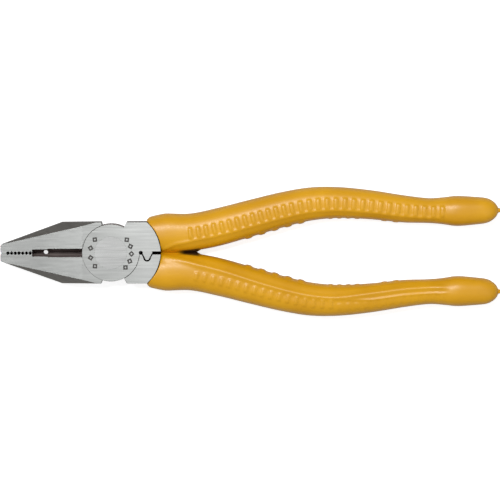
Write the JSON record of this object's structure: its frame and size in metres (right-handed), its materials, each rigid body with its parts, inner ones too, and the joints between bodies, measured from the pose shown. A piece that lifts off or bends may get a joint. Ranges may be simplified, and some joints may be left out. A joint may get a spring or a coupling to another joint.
{
  "type": "lineman pliers",
  "caption": "Flat-nosed lineman pliers with side cutters, a crimping die behind the round lap joint, and ribbed yellow dipped-style grips.",
  "frame": {"origin": "on the pivot axis, at the joint's flat back face", "axes": "+Z along the rivet from the back face to the front face, +X from the pivot towards the handles, +Y towards the handle of the lever that laps in front; the jaws are closed and point along -X"},
  "size_m": [0.2158, 0.0558, 0.0149],
  "materials": {
    "ground_steel": "fine ground, satin",
    "rivet_steel": "ground flush with the joint's faces",
    "grip_pvc": "soft moulded vinyl, semi-gloss yellow"
  },
  "bodies": {
    "back_lever": {"upper_jaw_lever": "ground_steel", "pivot_rivet": "rivet_steel", "lower_handle_grip": "grip_pvc"},
    "front_lever": {"lower_jaw_lever": "ground_steel", "upper_handle_grip": "grip_pvc"}
  },
  "joints": [
    {"name": "jaw_pivot", "type": "hinge", "parent": "back_lever", "child": "front_lever", "pos_m": [0, 0, 0.00625], "axis": [0, 0, 1], "range_deg": [0, 42]}
  ]
}
